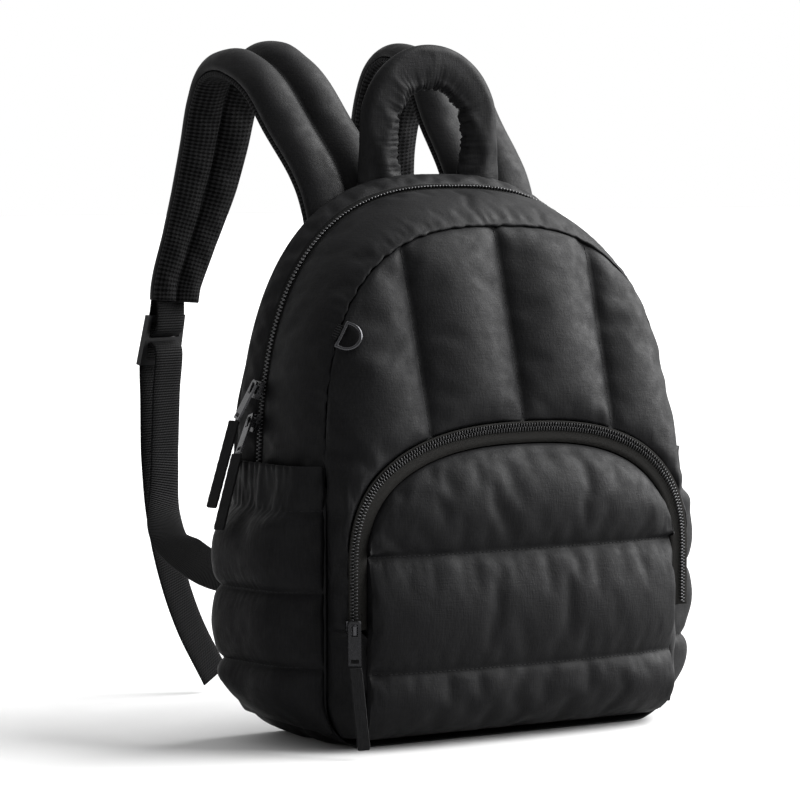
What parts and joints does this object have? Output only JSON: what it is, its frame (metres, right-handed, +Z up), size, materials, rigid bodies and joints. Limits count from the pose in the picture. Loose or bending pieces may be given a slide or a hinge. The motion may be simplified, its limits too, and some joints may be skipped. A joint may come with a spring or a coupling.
{
  "type": "quilted puffer backpack",
  "caption": "Small matte black quilted puffer backpack with an arched front, a half-moon zip pocket, gathered side pockets, a padded carry handle and raised padded shoulder straps.",
  "frame": {"origin": "middle of the flat base on the floor, halfway across the body", "axes": "+Z up, -Y out of the front with its zip pocket, +X to the viewer's right when facing the front"},
  "size_m": [0.3462, 0.3221, 0.4393],
  "materials": {
    "nylon_shell": "matte crinkled nylon, padded and quilted",
    "air_mesh": "matte open air mesh",
    "webbing": "matte ribbed webbing",
    "coil_zip": "dark coil teeth on woven tape, slight sheen",
    "zip_metal": "polished gunmetal",
    "buckle_plastic": "satin moulded plastic"
  },
  "bodies": {
    "root": {"gusset_base": "nylon_shell", "gusset_front": "nylon_shell", "gusset_back": "nylon_shell", "main_zip": "coil_zip", "front_panel": "nylon_shell", "pocket_zip": "coil_zip", "pocket_panel": "nylon_shell", "pocket_back_wall": "nylon_shell", "back_panel": "nylon_shell", "side_pocket_left": "nylon_shell", "side_pocket_right": "nylon_shell", "carry_handle": "nylon_shell", "strap_left": "nylon_shell", "strap_mesh_left": "air_mesh", "strap_webbing_left": "webbing", "ladder_lock_left": "buckle_plastic", "anchor_webbing_left": "webbing", "tail_left": "webbing", "anchor_tab_left": "nylon_shell", "strap_right": "nylon_shell", "strap_mesh_right": "air_mesh", "strap_webbing_right": "webbing", "ladder_lock_right": "buckle_plastic", "anchor_webbing_right": "webbing", "tail_right": "webbing", "anchor_tab_right": "nylon_shell", "main_slider_upper": "zip_metal", "main_pull_upper": "zip_metal", "main_tab_upper": "nylon_shell", "main_slider_lower": "zip_metal", "main_pull_lower": "zip_metal", "main_tab_lower": "nylon_shell", "pocket_slider": "zip_metal", "pocket_pull": "zip_metal", "pocket_tab": "nylon_shell", "d_ring": "zip_metal", "d_ring_tab": "webbing"}
  },
  "joints": []
}
